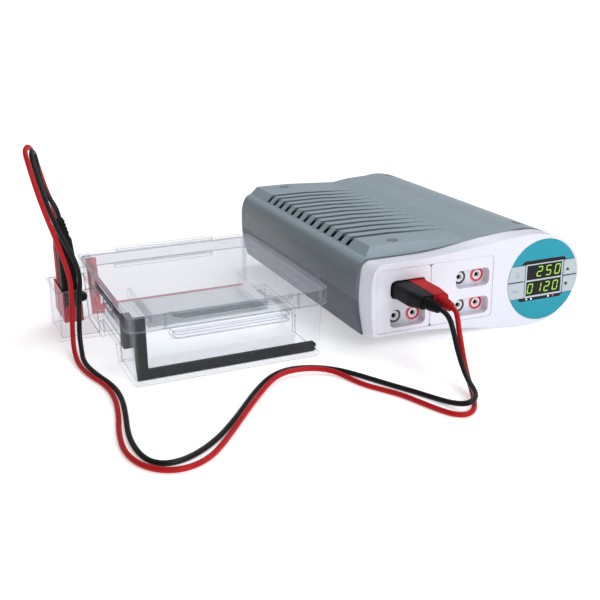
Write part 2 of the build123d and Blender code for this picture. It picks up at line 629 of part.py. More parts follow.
with BuildPart(SUPPLY) as transformer_winding:
    block(10.3, 49.7, 192.0, 246.0, 28.3, 57.7)
    block(19.7, 40.3, 199.7, 238.3, 28.0, 58.0, Mode.SUBTRACT)
done(transformer_winding, "transformer_winding")

# ======================================================================
# Gel tank
# ======================================================================
CX, CY = LID_W / 2, LID_D / 2


def inset(z):
    return BODY_INSET_BOTTOM + (BODY_INSET_TOP - BODY_INSET_BOTTOM) * z / BODY_TOP


with BuildPart() as tank_body:
    for z, r in ((0.0, 7.0), (BODY_TOP, 9.0)):
        with BuildSketch(tank_top(z)):
            with Locations((CX, CY)):
                RectangleRounded(LID_W - 2 * inset(z), LID_D - 2 * inset(z), r)
    loft(ruled=True)
    # grip lips under the lid at the front and the rear
    for y0, y1 in ((-8.5, 12.0), (LID_D - 12.0, LID_D + 4.6)):
        with BuildSketch(tank_top(45.4)):
            with Locations((88.3, (y0 + y1) / 2)):
                RectangleRounded(102.5, y1 - y0, 5.0)
        extrude(amount=3.0)
    with BuildSketch(tank_top(42.4)):
        with Locations((88.3, 1.75)):
            RectangleRounded(102.5, 20.5, 5.0)
        with Locations((88.3, 3.5)):
            RectangleRounded(98.1, 20.5, 3.5, mode=Mode.SUBTRACT)
    extrude(amount=3.2)
    # inside
    for z, r in ((TANK_WALL, 3.0), (BODY_TOP + 0.1, 6.5)):
        with BuildSketch(tank_top(z)):
            with Locations((CX, CY)):
                RectangleRounded(LID_W - 2 * inset(z) - 2 * TANK_WALL, LID_D - 2 * inset(z) - 2 * TANK_WALL, r)
    loft(ruled=True, mode=Mode.SUBTRACT)
    # raised middle between the two buffer reservoirs
    block(TX + 7.5, TX + LID_W - 7.5, TY + 61.5, TY + 137.3, 0.0, 27.0)
    block(TX + 8.9, TX + LID_W - 8.9, TY + 64.5, TY + 134.3, -1.0, 24.0, Mode.SUBTRACT)
    # the side walls end above the bench beside the raised middle
    block(TX - 5.0, TX + LID_W + 5.0, TY + 66.0, TY + 132.8, -1.0, 17.0, Mode.SUBTRACT)
done(tank_body, "tank_body")

with BuildPart() as tank_lid:
    with BuildSketch(tank_top(LID_BOTTOM)):
        with Locations((CX, CY)):
            RectangleRounded(LID_W, LID_D, 10.0)
    extrude(amount=LID_TOP - LID_BOTTOM)
    fillet(tank_lid.faces().sort_by(Axis.Z)[-1].edges(), 1.2)
    with BuildSketch(tank_top(LID_BOTTOM)):
        with Locations((CX, CY)):
            RectangleRounded(LID_W - 2 * LID_WALL, LID_D - 2 * LID_WALL, 8.0)
    extrude(amount=BODY_TOP + 0.02 - LID_BOTTOM, mode=Mode.SUBTRACT)
    # grip tabs: front, rear and right
    with BuildSketch(tank_top(61.0)):
        with BuildLine():
            Polyline((38.5, 1.5), (38.5, -5.0), (45.5, -12.7), (133.5, -12.7), (142.5, -5.0), (142.5, 1.5), close=True)
        make_face()
        fillet(vertices().group_by(Axis.Y)[0], 5.0)
        with Locations((CX + 0.8, LID_D + 1.0)):
            RectangleRounded(100.0, 8.0, 3.0)
        with Locations((LID_W + 1.5, 95.0)):
            RectangleRounded(10.0, 124.0, 4.0)
    extrude(amount=2.8)
    # framed window on the left skirt
    block(TX - 0.7, TX + 0.3, TY + 42.0, TY + 78.0, 50.0, 60.5)
    block(TX - 1.0, TX + 0.0, TY + 43.6, TY + 76.4, 51.6, 58.9, Mode.SUBTRACT)
    # upright ribs on the front skirt
    for x in (33.0, 150.0):
        block(TX + x - 0.7, TX + x + 0.7, TY - 0.8, TY + 0.5, 49.6, 62.4)
    # round boss near the rear left corner
    rod_z(TX + 7.0, TY + 182.0, 4.0, 63.0, 66.5)
done(tank_lid, "tank_lid")

with BuildPart() as terminal_box:
    block(TX - 32.1, TX + 5.5, TY + 136.5, TY + 190.0, 0.0, 47.3)
    fillet(terminal_box.edges().filter_by(Axis.Z).group_by(Axis.X)[0], 2.0)
    block(TX - 29.6, TX + 8.0, TY + 139.0, TY + 187.5, 2.5, 50.0, Mode.SUBTRACT)
    # follows the sloping side of the tank
    with BuildSketch(tank_front(200.0)):
        with BuildLine():
            Polyline((inset(-2.0) - 0.02, -2.0), (inset(50.0) - 0.02, 50.0), (20.0, 50.0), (20.0, -2.0), close=True)
        make_face()
    extrude(amount=80.0, mode=Mode.SUBTRACT)
done(terminal_box, "terminal_box")

PLUG_X, PLUG_BLACK_Y, PLUG_RED_Y = -17.2, 152.0, 171.0
with BuildPart() as red_terminal:
    block(TX - 25.5, TX - 8.0, TY + 140.0, TY + 187.3, 16.5, 46.0)
    with BuildSketch(tank_front(200.0)):
        with BuildLine():
            Polyline((inset(-2.0) - 0.05, -2.0), (inset(50.0) - 0.05, 50.0), (20.0, 50.0), (20.0, -2.0), close=True)
        make_face()
    extrude(amount=80.0, mode=Mode.SUBTRACT)
    # seat of the red plug and of its sleeve
    block(TX - 24.9, TX - 9.5, TY + 165.5, TY + 179.8, 41.0, 47.0, Mode.SUBTRACT)
    block(TX - 24.9, TX - 9.5, TY + 162.2, TY + 166.0, 41.0, 47.0, Mode.SUBTRACT)
    rod_z(TX + PLUG_X, TY + PLUG_RED_Y, 3.0, 20.0, 42.0, Mode.SUBTRACT)
    # seat of the black block, open to the front in its upper half
    block(TX - 24.3, TX - 9.2, TY + 141.4, TY + 161.2, 19.0, 47.0, Mode.SUBTRACT)
    block(TX - 24.9, TX - 9.2, TY + 141.4, TY + 161.2, 41.0, 47.0, Mode.SUBTRACT)
    block(TX - 24.3, TX - 9.2, TY + 139.0, TY + 142.0, 31.0, 47.0, Mode.SUBTRACT)
done(red_terminal, "red_terminal")

with BuildPart() as black_terminal:
    block(TX - 24.2, TX - 9.3, TY + 141.5, TY + 161.1, 19.05, 41.0)
    block(TX - 24.2, TX - 9.3, TY + 141.5, TY + 143.0, 40.9, 46.0)
    rod_z(TX + PLUG_X, TY + PLUG_BLACK_Y, 3.0, 20.0, 42.0, Mode.SUBTRACT)
done(black_terminal, "black_terminal")

with BuildPart() as terminal_cap:
    # round cap on the front wall of the terminal box, with a clamping ring
    with Locations(Location((TX - 8.6, TY + 133.7, 42.4), (90, 0, 0))):
        Cylinder(4.3, 5.55)
    chamfer(terminal_cap.faces().sort_by(Axis.Y)[0].edges(), 0.8)
    with Locations(Location((TX - 8.6, TY + 131.4, 42.4), (90, 0, 0))):
        Cylinder(1.6, 2.0, mode=Mode.SUBTRACT)
done(terminal_cap, "terminal_cap")

with BuildPart() as terminal_sleeves:
    for y in (PLUG_BLACK_Y, PLUG_RED_Y):
        rod_z(TX + PLUG_X, TY + y, 2.9, 20.05, 40.95)
    for y in (PLUG_BLACK_Y, PLUG_RED_Y):
        rod_z(TX + PLUG_X, TY + y, 2.0, 21.0, 42.0, Mode.SUBTRACT)
done(terminal_sleeves, "terminal_sleeves")

# electrode frames: a leg at the left and a bar along the floor, 3.8 mm thick
for name, y1, leg, arm in (
        ("front_cassette", 13.5, ((18.8, 58.0), (7.5, 58.0)), None),
        ("rear_cassette", 195.0, ((17.4, 60.2), (7.4, 60.2)), (166.0, 191.3))):
    with BuildPart() as cassette:
        with BuildSketch(tank_front(y1)):
            with BuildLine():
                Polyline((9.7, 3.3), (18.8, 3.3), *leg, close=True)
            make_face()
            with Locations((92.3, 7.65)):
                RectangleRounded(156.4, 8.7, 3.4)
            with Locations((13.2, 7.65)):
                Rectangle(6.8, 8.7)
            with Locations((169.8, 6.4)):
                Rectangle(8.0, 1.6, mode=Mode.SUBTRACT)
        extrude(amount=3.8)
        # return arm along the left wall
        if arm:
            block(TX + 9.8, TX + 13.4, TY + arm[0], TY + arm[1], 26.0, 58.0)
    cassette.part.label = name
    export_step(cassette.part, f"parts/{name}.step")

with BuildPart(TANK) as electrode_wires:
    for y in (13.9, 190.8):
        rod_x(y, 6.4, 0.3, 14.0, 168.0)
        rod_z(14.0, y, 0.3, 6.4, 50.0)
        with Locations((14.0, y, 6.4)):
            Sphere(0.3)
done(electrode_wires, "electrode_wires")

with BuildPart(TANK) as black_busbar:
    block(7.2, 8.6, 50.0, 152.0, 43.0, 48.5)
    # upright block at its front end
    block(8.4, 17.0, 50.0, 60.5, 17.5, 46.5)
done(black_busbar, "black_busbar")

with BuildPart(TANK) as red_busbar:
    block(7.2, 8.6, 60.0, 186.0, 52.0, 57.5)
done(red_busbar, "red_busbar")

STAGE = [
    (24, 6), (24, 17), (58, 17), (58, 29), (139.5, 29), (139.5, 14.5), (181, 14.5), (181, 6),
    (179, 6), (179, 12.5), (137.5, 12.5), (137.5, 27.0), (60, 27.0), (60, 15), (26, 15), (26, 6),
]
with BuildPart() as gel_stage:
    with BuildSketch(tank_side(20.0)):
        with BuildLine():
            Polyline(*STAGE, close=True)
        make_face()
    extrude(amount=136.0)
done(gel_stage, "gel_stage")

with BuildPart(TANK) as gel_tray:
    block(34.0, 146.0, 62.0, 137.0, 29.05, 32.0)
    block(34.0, 37.0, 62.0, 137.0, 31.9, 43.0)
    block(143.0, 146.0, 62.0, 137.0, 31.9, 43.0)
done(gel_tray, "gel_tray")

# ======================================================================
# Leads
# ======================================================================
PLUG_W, PLUG_H = 16.6, 14.6
PAIR_X = SOCKET_PITCH / 2
PLUG_TOP = 94.0
SUPPLY_PLUG_Y = (7.8, -42.5)

for name, x0, x1, ty in (
        ("plugs_black", PAIR_X - PLUG_W - 0.05, PAIR_X - 0.05, PLUG_BLACK_Y),
        ("plugs_red", PAIR_X + 0.05, PAIR_X + PLUG_W + 0.05, PLUG_RED_Y)):
    pin = 0.0 if x0 < 0 else SOCKET_PITCH
    with BuildPart() as plugs:
        # supply end: rounded outer corners, flat side towards its neighbour, tapering to the lead
        s = -1 if x0 < 0 else 1
        xi = x1 if x0 < 0 else x0
        for y, w, zl, zh, r in ((SUPPLY_PLUG_Y[0], PLUG_W, 49.2, 63.8, 4.0), (-26.0, PLUG_W, 49.2, 63.8, 4.0),
                                (SUPPLY_PLUG_Y[1], PLUG_W - 2.4, 51.6, 63.4, 4.0)):
            xo = xi + s * w
            with BuildSketch(front(y)):
                with BuildLine():
                    Polyline((xo - s * r, zl), (xi, zl), (xi, zh), (xo - s * r, zh))
                    ThreePointArc((xo - s * r, zh), (xo - s * r * 0.2929, zh - r * 0.2929), (xo, zh - r))
                    Line((xo, zh - r), (xo, zl + r))
                    ThreePointArc((xo, zl + r), (xo - s * r * 0.2929, zl + r * 0.2929), (xo - s * r, zl))
                make_face()
        loft(ruled=True)
        rod_y(OX + pin, 56.5, 1.9, OY + 0.0, OY + 10.0, Mode.SUBTRACT)
        # tank end: upright grip
        with BuildSketch(tank_top(41.05)):
            with Locations((PLUG_X, ty)):
                RectangleRounded(14.4, 17.0, 3.0)
        with BuildSketch(tank_top(80.0)):
            with Locations((PLUG_X, ty)):
                RectangleRounded(14.4, 17.0, 3.0)
        with BuildSketch(tank_top(PLUG_TOP)):
            with Locations((PLUG_X, ty)):
                RectangleRounded(12.0, 13.6, 3.0)
        loft(ruled=True)
        rod_z(TX + PLUG_X, TY + ty, 1.9, 40.0, 50.0, Mode.SUBTRACT)
    plugs.part.label = name
    export_step(plugs.part, f"parts/{name}.step")

with BuildPart() as plug_pins:
    for x in (0.0, SOCKET_PITCH):
        rod_y(OX + x, 56.5, 1.9, OY + 0.0, OY + 26.0)
    for y in (PLUG_BLACK_Y, PLUG_RED_Y):
        rod_z(TX + PLUG_X, TY + y, 1.9, 23.0, 50.0)
done(plug_pins, "plug_pins")

# strain reliefs: start on the plug, end where the lead leaves, both given in supply coordinates
TKX, TKY = TANK_X, TANK_Y
RELIEFS = {
    "reliefs_black": [((3.0, -42.3, 57.0), (6.4, -57.0, 55.6)),
                      ((TKX - 17.2, TKY + 152.0, 93.8), (-261.1, 164.3, 112.6))],
    "reliefs_red": [((16.2, -42.3, 57.0), (17.6, -57.5, 55.6)),
                    ((TKX - 17.2, TKY + 171.0, 93.8), (-261.5, 183.1, 113.0))],
}
for name, pairs in RELIEFS.items():
    with BuildPart() as reliefs:
        for a, b in pairs:
            start = Vector(*a) + Vector(OX, OY, 0)
            axis = Vector(*b) - Vector(*a)
            with BuildSketch(Plane(origin=start, z_dir=axis)):
                Circle(5.4)
            with BuildSketch(Plane(origin=start + axis, z_dir=axis)):
                Circle(3.3)
            loft(ruled=True)
            for i in range(4):
                f = 0.22 + 0.19 * i
                with BuildSketch(Plane(origin=start + axis * f, z_dir=axis)):
                    Circle(5.8 - 2.1 * f)
                extrude(amount=1.7)
        # the relief starts on the plug, not in it
        block(OX - 20, OX + 40, OY + SUPPLY_PLUG_Y[1], OY + 20, 30, 80, Mode.SUBTRACT)
        block(TX - 40, TX + 10, TY + 130, TY + 190, 60, PLUG_TOP, Mode.SUBTRACT)
    reliefs.part.label = name
    export_step(reliefs.part, f"parts/{name}.step")

# routes of the leads from the supply plug to the tank plug, in supply coordinates
LEAD_RED = [
    (17.6, -57.5, 55.6), (18.1, -62.96, 55.1), (16.9, -68.4, 49.2), (15.2, -74.0, 40.2), (13.6, -80.5, 31.2),
    (12.2, -86.0, 23.6), (10.7, -93.0, 14.6), (8.3, -102.0, 7.6), (4.6, -112.5, 3.4), (-0.2, -122.0, LEAD_Z),
    (-6.0, -132.0, LEAD_Z), (-12.8, -139.6, LEAD_Z), (-21.2, -142.2, LEAD_Z), (-28.6, -137.0, LEAD_Z),
    (-33.6, -127.4, LEAD_Z), (-38.4, -114.6, LEAD_Z), (-46.4, -91.2, LEAD_Z), (-55.2, -76.4, LEAD_Z),
    (-64.2, -61.8, LEAD_Z), (-69.6, -46.5, LEAD_Z), (-74.0, -32.6, 3.2), (-82.0, -22.5, 4.4), (-95.0, -16.4, 5.2),
    (-113.2, -15.1, 5.4), (-128.0, -22.5, 5.4), (-143.5, -37.8, 5.2), (-170.6, -70.0, 4.4), (-196.9, -102.1, 2.6),
    (-216.7, -124.0, LEAD_Z), (-235.6, -132.6, LEAD_Z), (-252.0, -129.4, LEAD_Z), (-265.0, -115.4, LEAD_Z),
    (-270.9, -91.6, LEAD_Z), (-267.6, -61.3, LEAD_Z), (-260.3, -30.1, LEAD_Z), (-255.9, 2.0, LEAD_Z),
    (-257.6, 29.5, LEAD_Z), (-265.6, 54.0, LEAD_Z), (-269.4, 80.0, LEAD_Z), (-268.6, 103.0, 5.8),
    (-265.9, 120.6, 15.6), (-263.2, 130.2, 30.5), (-261.6, 134.2, 46.0),
    (-260.8, 135.9, 62.4), (-264.7, 137.8, 80.9), (-269.6, 140.4, 100.3), (-274.8, 142.8, 118.7),
    (-279.7, 145.8, 138.1), (-283.0, 149.8, 155.7), (-284.8, 153.8, 167.3), (-285.7, 159.0, 175.3),
    (-283.7, 164.6, 178.6), (-280.3, 171.6, 178.4), (-277.3, 177.4, 173.7), (-274.3, 182.2, 165.3),
    (-271.7, 184.4, 155.4), (-269.1, 185.4, 143.2), (-266.0, 184.9, 131.6), (-262.919, 183.296, 122.391),
    (-261.5, 183.1, 113.0),
]
LEAD_BLACK = [
    (6.4, -57.0, 55.6), (7.746, -62.82, 55.046), (9.6, -68.6, 49.6), (9.3, -75.0, 40.6), (7.8, -82.5, 31.2),
    (6.4, -91.0, 22.6), (4.9, -100.5, 15.4), (3.2, -110.0, 11.2), (1.2, -119.5, 9.4), (-2.4, -127.5, 8.9),
    (-8.0, -133.2, 8.0), (-14.8, -132.8, 6.2), (-19.6, -125.4, 4.3), (-23.6, -114.5, 2.9), (-28.6, -102.0, LEAD_Z),
    (-35.4, -88.0, LEAD_Z), (-43.9, -73.0, LEAD_Z), (-52.9, -55.5, LEAD_Z), (-61.6, -38.5, LEAD_Z),
    (-71.0, -23.5, LEAD_Z), (-83.0, -12.5, LEAD_Z), (-98.0, -5.6, LEAD_Z), (-113.0, -5.2, LEAD_Z),
    (-127.5, -12.4, LEAD_Z), (-141.5, -25.5, LEAD_Z), (-157.1, -43.4, LEAD_Z), (-181.9, -75.3, LEAD_Z),
    (-205.8, -101.9, LEAD_Z), (-228.7, -118.0, LEAD_Z), (-246.9, -121.5, LEAD_Z), (-257.8, -113.3, LEAD_Z),
    (-262.4, -95.1, LEAD_Z), (-262.0, -67.6, LEAD_Z), (-255.3, -32.4, LEAD_Z), (-251.0, -2.0, LEAD_Z),
    (-251.9, 25.2, LEAD_Z), (-260.4, 56.6, LEAD_Z), (-264.2, 84.4, LEAD_Z), (-261.6, 107.0, 6.0),
    (-259.6, 122.4, 15.0), (-256.6, 131.8, 30.0), (-254.4, 136.8, 45.5),
    (-251.2, 140.4, 60.8), (-254.0, 143.6, 78.0), (-261.8, 146.8, 95.6), (-268.1, 149.8, 113.1),
    (-272.9, 152.6, 130.8), (-276.4, 155.6, 146.7), (-278.7, 158.6, 160.4), (-280.1, 161.8, 169.8),
    (-279.4, 165.6, 173.8), (-277.0, 170.6, 173.6), (-275.2, 173.8, 168.2), (-274.1, 175.2, 160.0),
    (-273.0, 174.4, 146.9), (-269.5, 170.0, 134.6), (-262.352, 164.6, 122.012), (-261.1, 164.3, 112.6),
]

for name, route in (("lead_red", LEAD_RED), ("lead_black", LEAD_BLACK)):
    points = [Vector(x + OX, y + OY, z) for x, y, z in route]
    runs = [(b - a).length for a, b in zip(points, points[1:])]
    turns = [(b - a).get_angle(c - b) for a, b, c in zip(points, points[1:], points[2:])]
    radii = [0.45 * min(l0, l1) / math.tan(math.radians(t / 2)) for l0, l1, t in zip(runs, runs[1:], turns)]
    with BuildPart() as lead:
        with BuildLine() as path:
            FilletPolyline(*points, radius=radii)
        with BuildSketch(Plane(origin=path.line @ 0, z_dir=path.line % 0)):
            Circle(LEAD_D / 2)
        sweep()
    lead.part.label = name
    export_step(lead.part, f"parts/{name}.step")
    length = sum(edge.length for edge in path.edges())
    print(name, "length", round(length, 1), "volume ratio",
          round(lead.part.volume / (math.pi * (LEAD_D / 2) ** 2 * length), 4))
    print(" radii", [round(r, 1) for r in radii])
    print(" runs", [round(r, 1) for r in runs])
    print(" turns", [round(t, 1) for t in turns])
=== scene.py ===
import math

import bpy
import bmesh
from mathutils import Matrix, Vector


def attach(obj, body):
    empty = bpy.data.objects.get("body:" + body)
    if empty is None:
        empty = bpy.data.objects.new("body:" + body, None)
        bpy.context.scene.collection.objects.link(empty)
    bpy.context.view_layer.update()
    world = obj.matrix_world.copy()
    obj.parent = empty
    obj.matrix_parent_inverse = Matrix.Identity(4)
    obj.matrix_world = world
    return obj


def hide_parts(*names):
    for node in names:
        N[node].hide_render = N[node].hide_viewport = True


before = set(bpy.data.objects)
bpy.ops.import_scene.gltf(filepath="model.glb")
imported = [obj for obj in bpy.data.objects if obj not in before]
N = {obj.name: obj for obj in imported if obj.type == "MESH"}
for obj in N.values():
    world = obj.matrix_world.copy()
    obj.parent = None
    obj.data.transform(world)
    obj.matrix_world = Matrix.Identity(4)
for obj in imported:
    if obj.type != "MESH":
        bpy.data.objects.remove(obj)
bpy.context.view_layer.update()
ROOT = "supply_and_tank"

# supply datum and tank corner, in metres, as in the solids
OX, OY = 0.0380, -0.1495
TX, TY = OX - 0.2414, OY + 0.0117


def ps(x, y, z):
    return Vector((OX + x / 1000, OY + y / 1000, z / 1000))


def tk(x, y, z):
    return Vector((TX + x / 1000, TY + y / 1000, z / 1000))


# ---------------------------------------------------------------- materials
def new_material(name):
    m = bpy.data.materials.new(name)
    m.use_nodes = True
    t = m.node_tree
    t.nodes.clear()
    out = t.nodes.new("ShaderNodeOutputMaterial")
    b = t.nodes.new("ShaderNodeBsdfPrincipled")
    t.links.new(b.outputs["BSDF"], out.inputs["Surface"])
    return m, t, b


def coords(t):
    return t.nodes.new("ShaderNodeTexCoord").outputs["Object"]


def noise(t, src, scale, detail=4.0, rough=0.55):
    n = t.nodes.new("ShaderNodeTexNoise")
    n.inputs["Scale"].default_value = scale
    n.inputs["Detail"].default_value = detail
    n.inputs["Roughness"].default_value = rough
    t.links.new(src, n.inputs["Vector"])
    return n.outputs["Fac"]


def spread(t, src, lo, hi, a=0.3, b=0.7):
    n = t.nodes.new("ShaderNodeMapRange")
    n.inputs["From Min"].default_value = a
    n.inputs["From Max"].default_value = b
    n.inputs["To Min"].default_value = lo
    n.inputs["To Max"].default_value = hi
    t.links.new(src, n.inputs["Value"])
    return n.outputs["Result"]


def mix(t, fac, a, b):
    n = t.nodes.new("ShaderNodeMix")
    n.data_type = "RGBA"
    if hasattr(fac, "is_linked"):
        t.links.new(fac, n.inputs["Factor"])
    else:
        n.inputs["Factor"].default_value = fac
    for s, v in (("A", a), ("B", b)):
        k = [i for i in n.inputs if i.name == s and i.type == "RGBA"][0]
        if hasattr(v, "is_linked"):
            t.links.new(v, k)
        else:
            k.default_value = (*v[:3], 1.0)
    return [o for o in n.outputs if o.type == "RGBA"][0]


def math_node(t, op, a, b=None):
    n = t.nodes.new("ShaderNodeMath")
    n.operation = op
    for i, v in enumerate((a, b)):
        if v is None:
            continue
        if hasattr(v, "is_linked"):
            t.links.new(v, n.inputs[i])
        else:
            n.inputs[i].default_value = v
    return n.outputs[0]


def shade(c, k):
    return tuple(min(1.0, max(0.0, v * k)) for v in c[:3])


def plastic(name, color, rough=0.35, vary=0.05, scale=60.0, rough_vary=0.05, grain=0.0, grain_scale=2200.0,
            metallic=0.0, coat=0.0, edge=0.0, dust=0.0, wave=0.0, sheen=0.0, specular=0.5, painted_wall_shade=0.0, painted_glow=0.0):
    """Moulded, painted or metal surface: slow drift of tone, uneven gloss, fine grain and softened edges."""
    m, t, b = new_material(name)
    src = coords(t)
    slow = noise(t, src, scale, 5.0)
    fine = noise(t, src, scale * 9.0, 3.0)
    base = mix(t, spread(t, slow, 0.0, 1.0), shade(color, 1 - vary), shade(color, 1 + vary))
    if painted_wall_shade:
        # painted shade: upright faces are darkened against faces that look up, standing in for the light that falls
        # from above
        face = t.nodes.new("ShaderNodeNewGeometry")
        up = t.nodes.new("ShaderNodeSeparateXYZ")
        t.links.new(face.outputs["Normal"], up.inputs[0])
        shaded_walls = mix(t, spread(t, slow, 0.0, 1.0), shade(color, painted_wall_shade * (1 - vary)), shade(color, painted_wall_shade * (1 + vary)))
        base = mix(t, spread(t, up.outputs["Z"], 0.0, 1.0, 0.15, 0.8), shaded_walls, base)
    if dust:
        speck = spread(t, fine, 0.0, dust, 0.52, 0.74)
        base = mix(t, speck, base, (0.62, 0.62, 0.62))
    t.links.new(base, b.inputs["Base Color"])
    t.links.new(spread(t, fine, max(0.02, rough - rough_vary), min(1.0, rough + rough_vary)), b.inputs["Roughness"])
    b.inputs["Metallic"].default_value = metallic
    b.inputs["Coat Weight"].default_value = coat
    b.inputs["Coat Roughness"].default_value = 0.12
    b.inputs["Sheen Weight"].default_value = sheen
    b.inputs["Specular IOR Level"].default_value = specular
    if painted_glow:
        # painted glow: the plastic emits its own base colour, brightening it where the clear parts above shade it
        t.links.new(base, b.inputs["Emission Color"])
        b.inputs["Emission Strength"].default_value = painted_glow
    normal = None
    if edge:
        e = t.nodes.new("ShaderNodeBevel")
        e.samples = 4
        e.inputs["Radius"].default_value = edge
        normal = e.outputs["Normal"]
    bump = t.nodes.new("ShaderNodeBump")
    bump.inputs["Strength"].default_value = grain if grain else 0.03
    bump.inputs["Distance"].default_value = 0.0002
    t.links.new(noise(t, src, grain_scale, 2.0), bump.inputs["Height"])
    if normal is not None:
        t.links.new(normal, bump.inputs["Normal"])
    t.links.new(bump.outputs["Normal"], b.inputs["Normal"])
    return m


def brushed(name, color, rough=0.28, stretch=(1, 40, 40)):
    m, t, b = new_material(name)
    src = coords(t)
    mp = t.nodes.new("ShaderNodeMapping")
    mp.inputs["Scale"].default_value = stretch
    t.links.new(src, mp.inputs["Vector"])
    lines = noise(t, mp.outputs["Vector"], 90.0, 3.0)
    t.links.new(mix(t, spread(t, lines, 0, 1), shade(color, 0.86), shade(color, 1.1)), b.inputs["Base Color"])
    t.links.new(spread(t, lines, rough - 0.07, rough + 0.1), b.inputs["Roughness"])
    b.inputs["Metallic"].default_value = 1.0
    bump = t.nodes.new("ShaderNodeBump")
    bump.inputs["Strength"].default_value = 0.05
    bump.inputs["Distance"].default_value = 0.0002
    t.links.new(lines, bump.inputs["Height"])
    t.links.new(bump.outputs["Normal"], b.inputs["Normal"])
    return m


def clear(name, tint=(0.93, 0.945, 0.96), rough=0.0, alpha=0.72, ior=1.0, haze=0.008, painted_edge_colour=(0.20, 0.225, 0.30),
          painted_edge_width=0.0014, painted_edge_alpha=0.85, veil=0.7, corner=None, upright=None):
    """Clear moulded plastic with faint handling marks; along its edges a painted shade makes it darker and less
    see-through.
    """
    m, t, b = new_material(name)
    src = coords(t)
    marks = noise(t, src, 38.0, 7.0, 0.62)
    fine = noise(t, src, 420.0, 3.0)
    body = mix(t, spread(t, marks, 0, 1), shade(tint, 0.985), shade(tint, 1.01))
    t.links.new(spread(t, marks, rough, rough + haze, 0.45, 0.8), b.inputs["Roughness"])
    round_edge = t.nodes.new("ShaderNodeBevel")
    round_edge.samples = 6
    round_edge.inputs["Radius"].default_value = painted_edge_width
    face = t.nodes.new("ShaderNodeNewGeometry")
    turn = t.nodes.new("ShaderNodeVectorMath")
    turn.operation = "DOT_PRODUCT"
    t.links.new(round_edge.outputs["Normal"], turn.inputs[0])
    t.links.new(face.outputs["Normal"], turn.inputs[1])
    # painted shade: mask of the rounded edges, where the colour turns to the darker edge colour and the surface gets
    # less see-through
    near = spread(t, turn.outputs["Value"], 1.0, 0.0, 0.90, 0.992)
    if corner:
        # painted shade on the upright rounded corners too
        place = t.nodes.new("ShaderNodeSeparateXYZ")
        t.links.new(face.outputs["Position"], place.inputs[0])
        cx, cy, hx, hy = corner
        px = math_node(t, "ABSOLUTE", math_node(t, "SUBTRACT", place.outputs["X"], cx))
        py = math_node(t, "ABSOLUTE", math_node(t, "SUBTRACT", place.outputs["Y"], cy))
        painted_corner_mask = math_node(t, "MULTIPLY", spread(t, px, 0.0, 1.0, hx - 0.0065, hx - 0.002),
                        spread(t, py, 0.0, 1.0, hy - 0.0065, hy - 0.002))
        near = math_node(t, "MAXIMUM", near, math_node(t, "MULTIPLY", painted_corner_mask, 0.75))
    t.links.new(mix(t, near, body, painted_edge_colour), b.inputs["Base Color"])
    through, alpha_with_painted_edges = spread(t, near, veil, 0.15, 0.0, 1.0), spread(t, near, alpha, painted_edge_alpha, 0.0, 1.0)
    if upright:
        # upright faces are clearer than the level ones
        aim = t.nodes.new("ShaderNodeSeparateXYZ")
        t.links.new(face.outputs["Normal"], aim.inputs[0])
        level = spread(t, math_node(t, "ABSOLUTE", aim.outputs["Z"]), 0.0, 1.0, 0.2, 0.8)
        if corner:
            # the grip tabs round the sheet are thin and clear
            level = math_node(t, "MULTIPLY", level, math_node(t, "LESS_THAN", px, hx))
            level = math_node(t, "MULTIPLY", level, math_node(t, "LESS_THAN", py, hy))
        other = (spread(t, near, upright[1], 0.15, 0.0, 1.0), spread(t, near, upright[0], painted_edge_alpha, 0.0, 1.0))
        through, alpha_with_painted_edges = (
            math_node(t, "ADD", math_node(t, "MULTIPLY", a, level),
                      math_node(t, "MULTIPLY", c, math_node(t, "SUBTRACT", 1.0, level)))
            for a, c in zip((through, alpha_with_painted_edges), other))
    t.links.new(through, b.inputs["Transmission Weight"])
    t.links.new(alpha_with_painted_edges, b.inputs["Alpha"])
    b.inputs["IOR"].default_value = ior
    b.inputs["Coat Weight"].default_value = 0.5
    b.inputs["Coat Roughness"].default_value = 0.03
    bump = t.nodes.new("ShaderNodeBump")
    bump.inputs["Strength"].default_value = 0.006
    bump.inputs["Distance"].default_value = 0.0002
    t.links.new(fine, bump.inputs["Height"])
    t.links.new(bump.outputs["Normal"], b.inputs["Normal"])
    return m


def glow(name, color, strength):
    m, t, b = new_material(name)
    src = coords(t)
    n = noise(t, src, 900.0, 2.0)
    c = mix(t, spread(t, n, 0, 1), shade(color, 0.92), color)
    t.links.new(c, b.inputs["Base Color"])
    t.links.new(c, b.inputs["Emission Color"])
    b.inputs["Emission Strength"].default_value = strength
    b.inputs["Roughness"].default_value = 0.4
    return m


M = {}
M["bezel"] = plastic("bezel_white", (0.735, 0.752, 0.845), rough=0.30, vary=0.012, edge=0.0012, grain=0.02, coat=0.15)
M["plate"] = plastic("plate_white", (0.750, 0.762, 0.848), rough=0.20, vary=0.012, edge=0.0004, grain=0.015, coat=0.3)
# painted shade: the cover's upright faces are darkened against its top
M["cover"] = plastic("cover_grey", (0.290, 0.365, 0.418), painted_wall_shade=0.36, rough=0.42, vary=0.025, grain=0.10, grain_scale=2600, edge=0.0008)
M["base"] = plastic("base_grey", (0.072, 0.082, 0.106), rough=0.5, vary=0.03, grain=0.12, grain_scale=2600, edge=0.0008)
M["rubber"] = plastic("foot_rubber", (0.028, 0.028, 0.03), rough=0.75, vary=0.15, grain=0.25, grain_scale=1500, dust=0.12)
M["steel"] = brushed("steel_brushed", (0.60, 0.61, 0.63))
M["screw"] = brushed("screw_zinc", (0.52, 0.53, 0.55), rough=0.3, stretch=(6, 6, 1))
M["nickel"] = brushed("contact_nickel", (0.66, 0.64, 0.60), rough=0.18, stretch=(30, 1, 30))
M["platinum"] = brushed("wire_platinum", (0.75, 0.75, 0.74), rough=0.12)
M["panel_paint"] = plastic("rear_paint", (0.23, 0.26, 0.28), rough=0.5, vary=0.03, grain=0.15, grain_scale=1800, edge=0.0003)
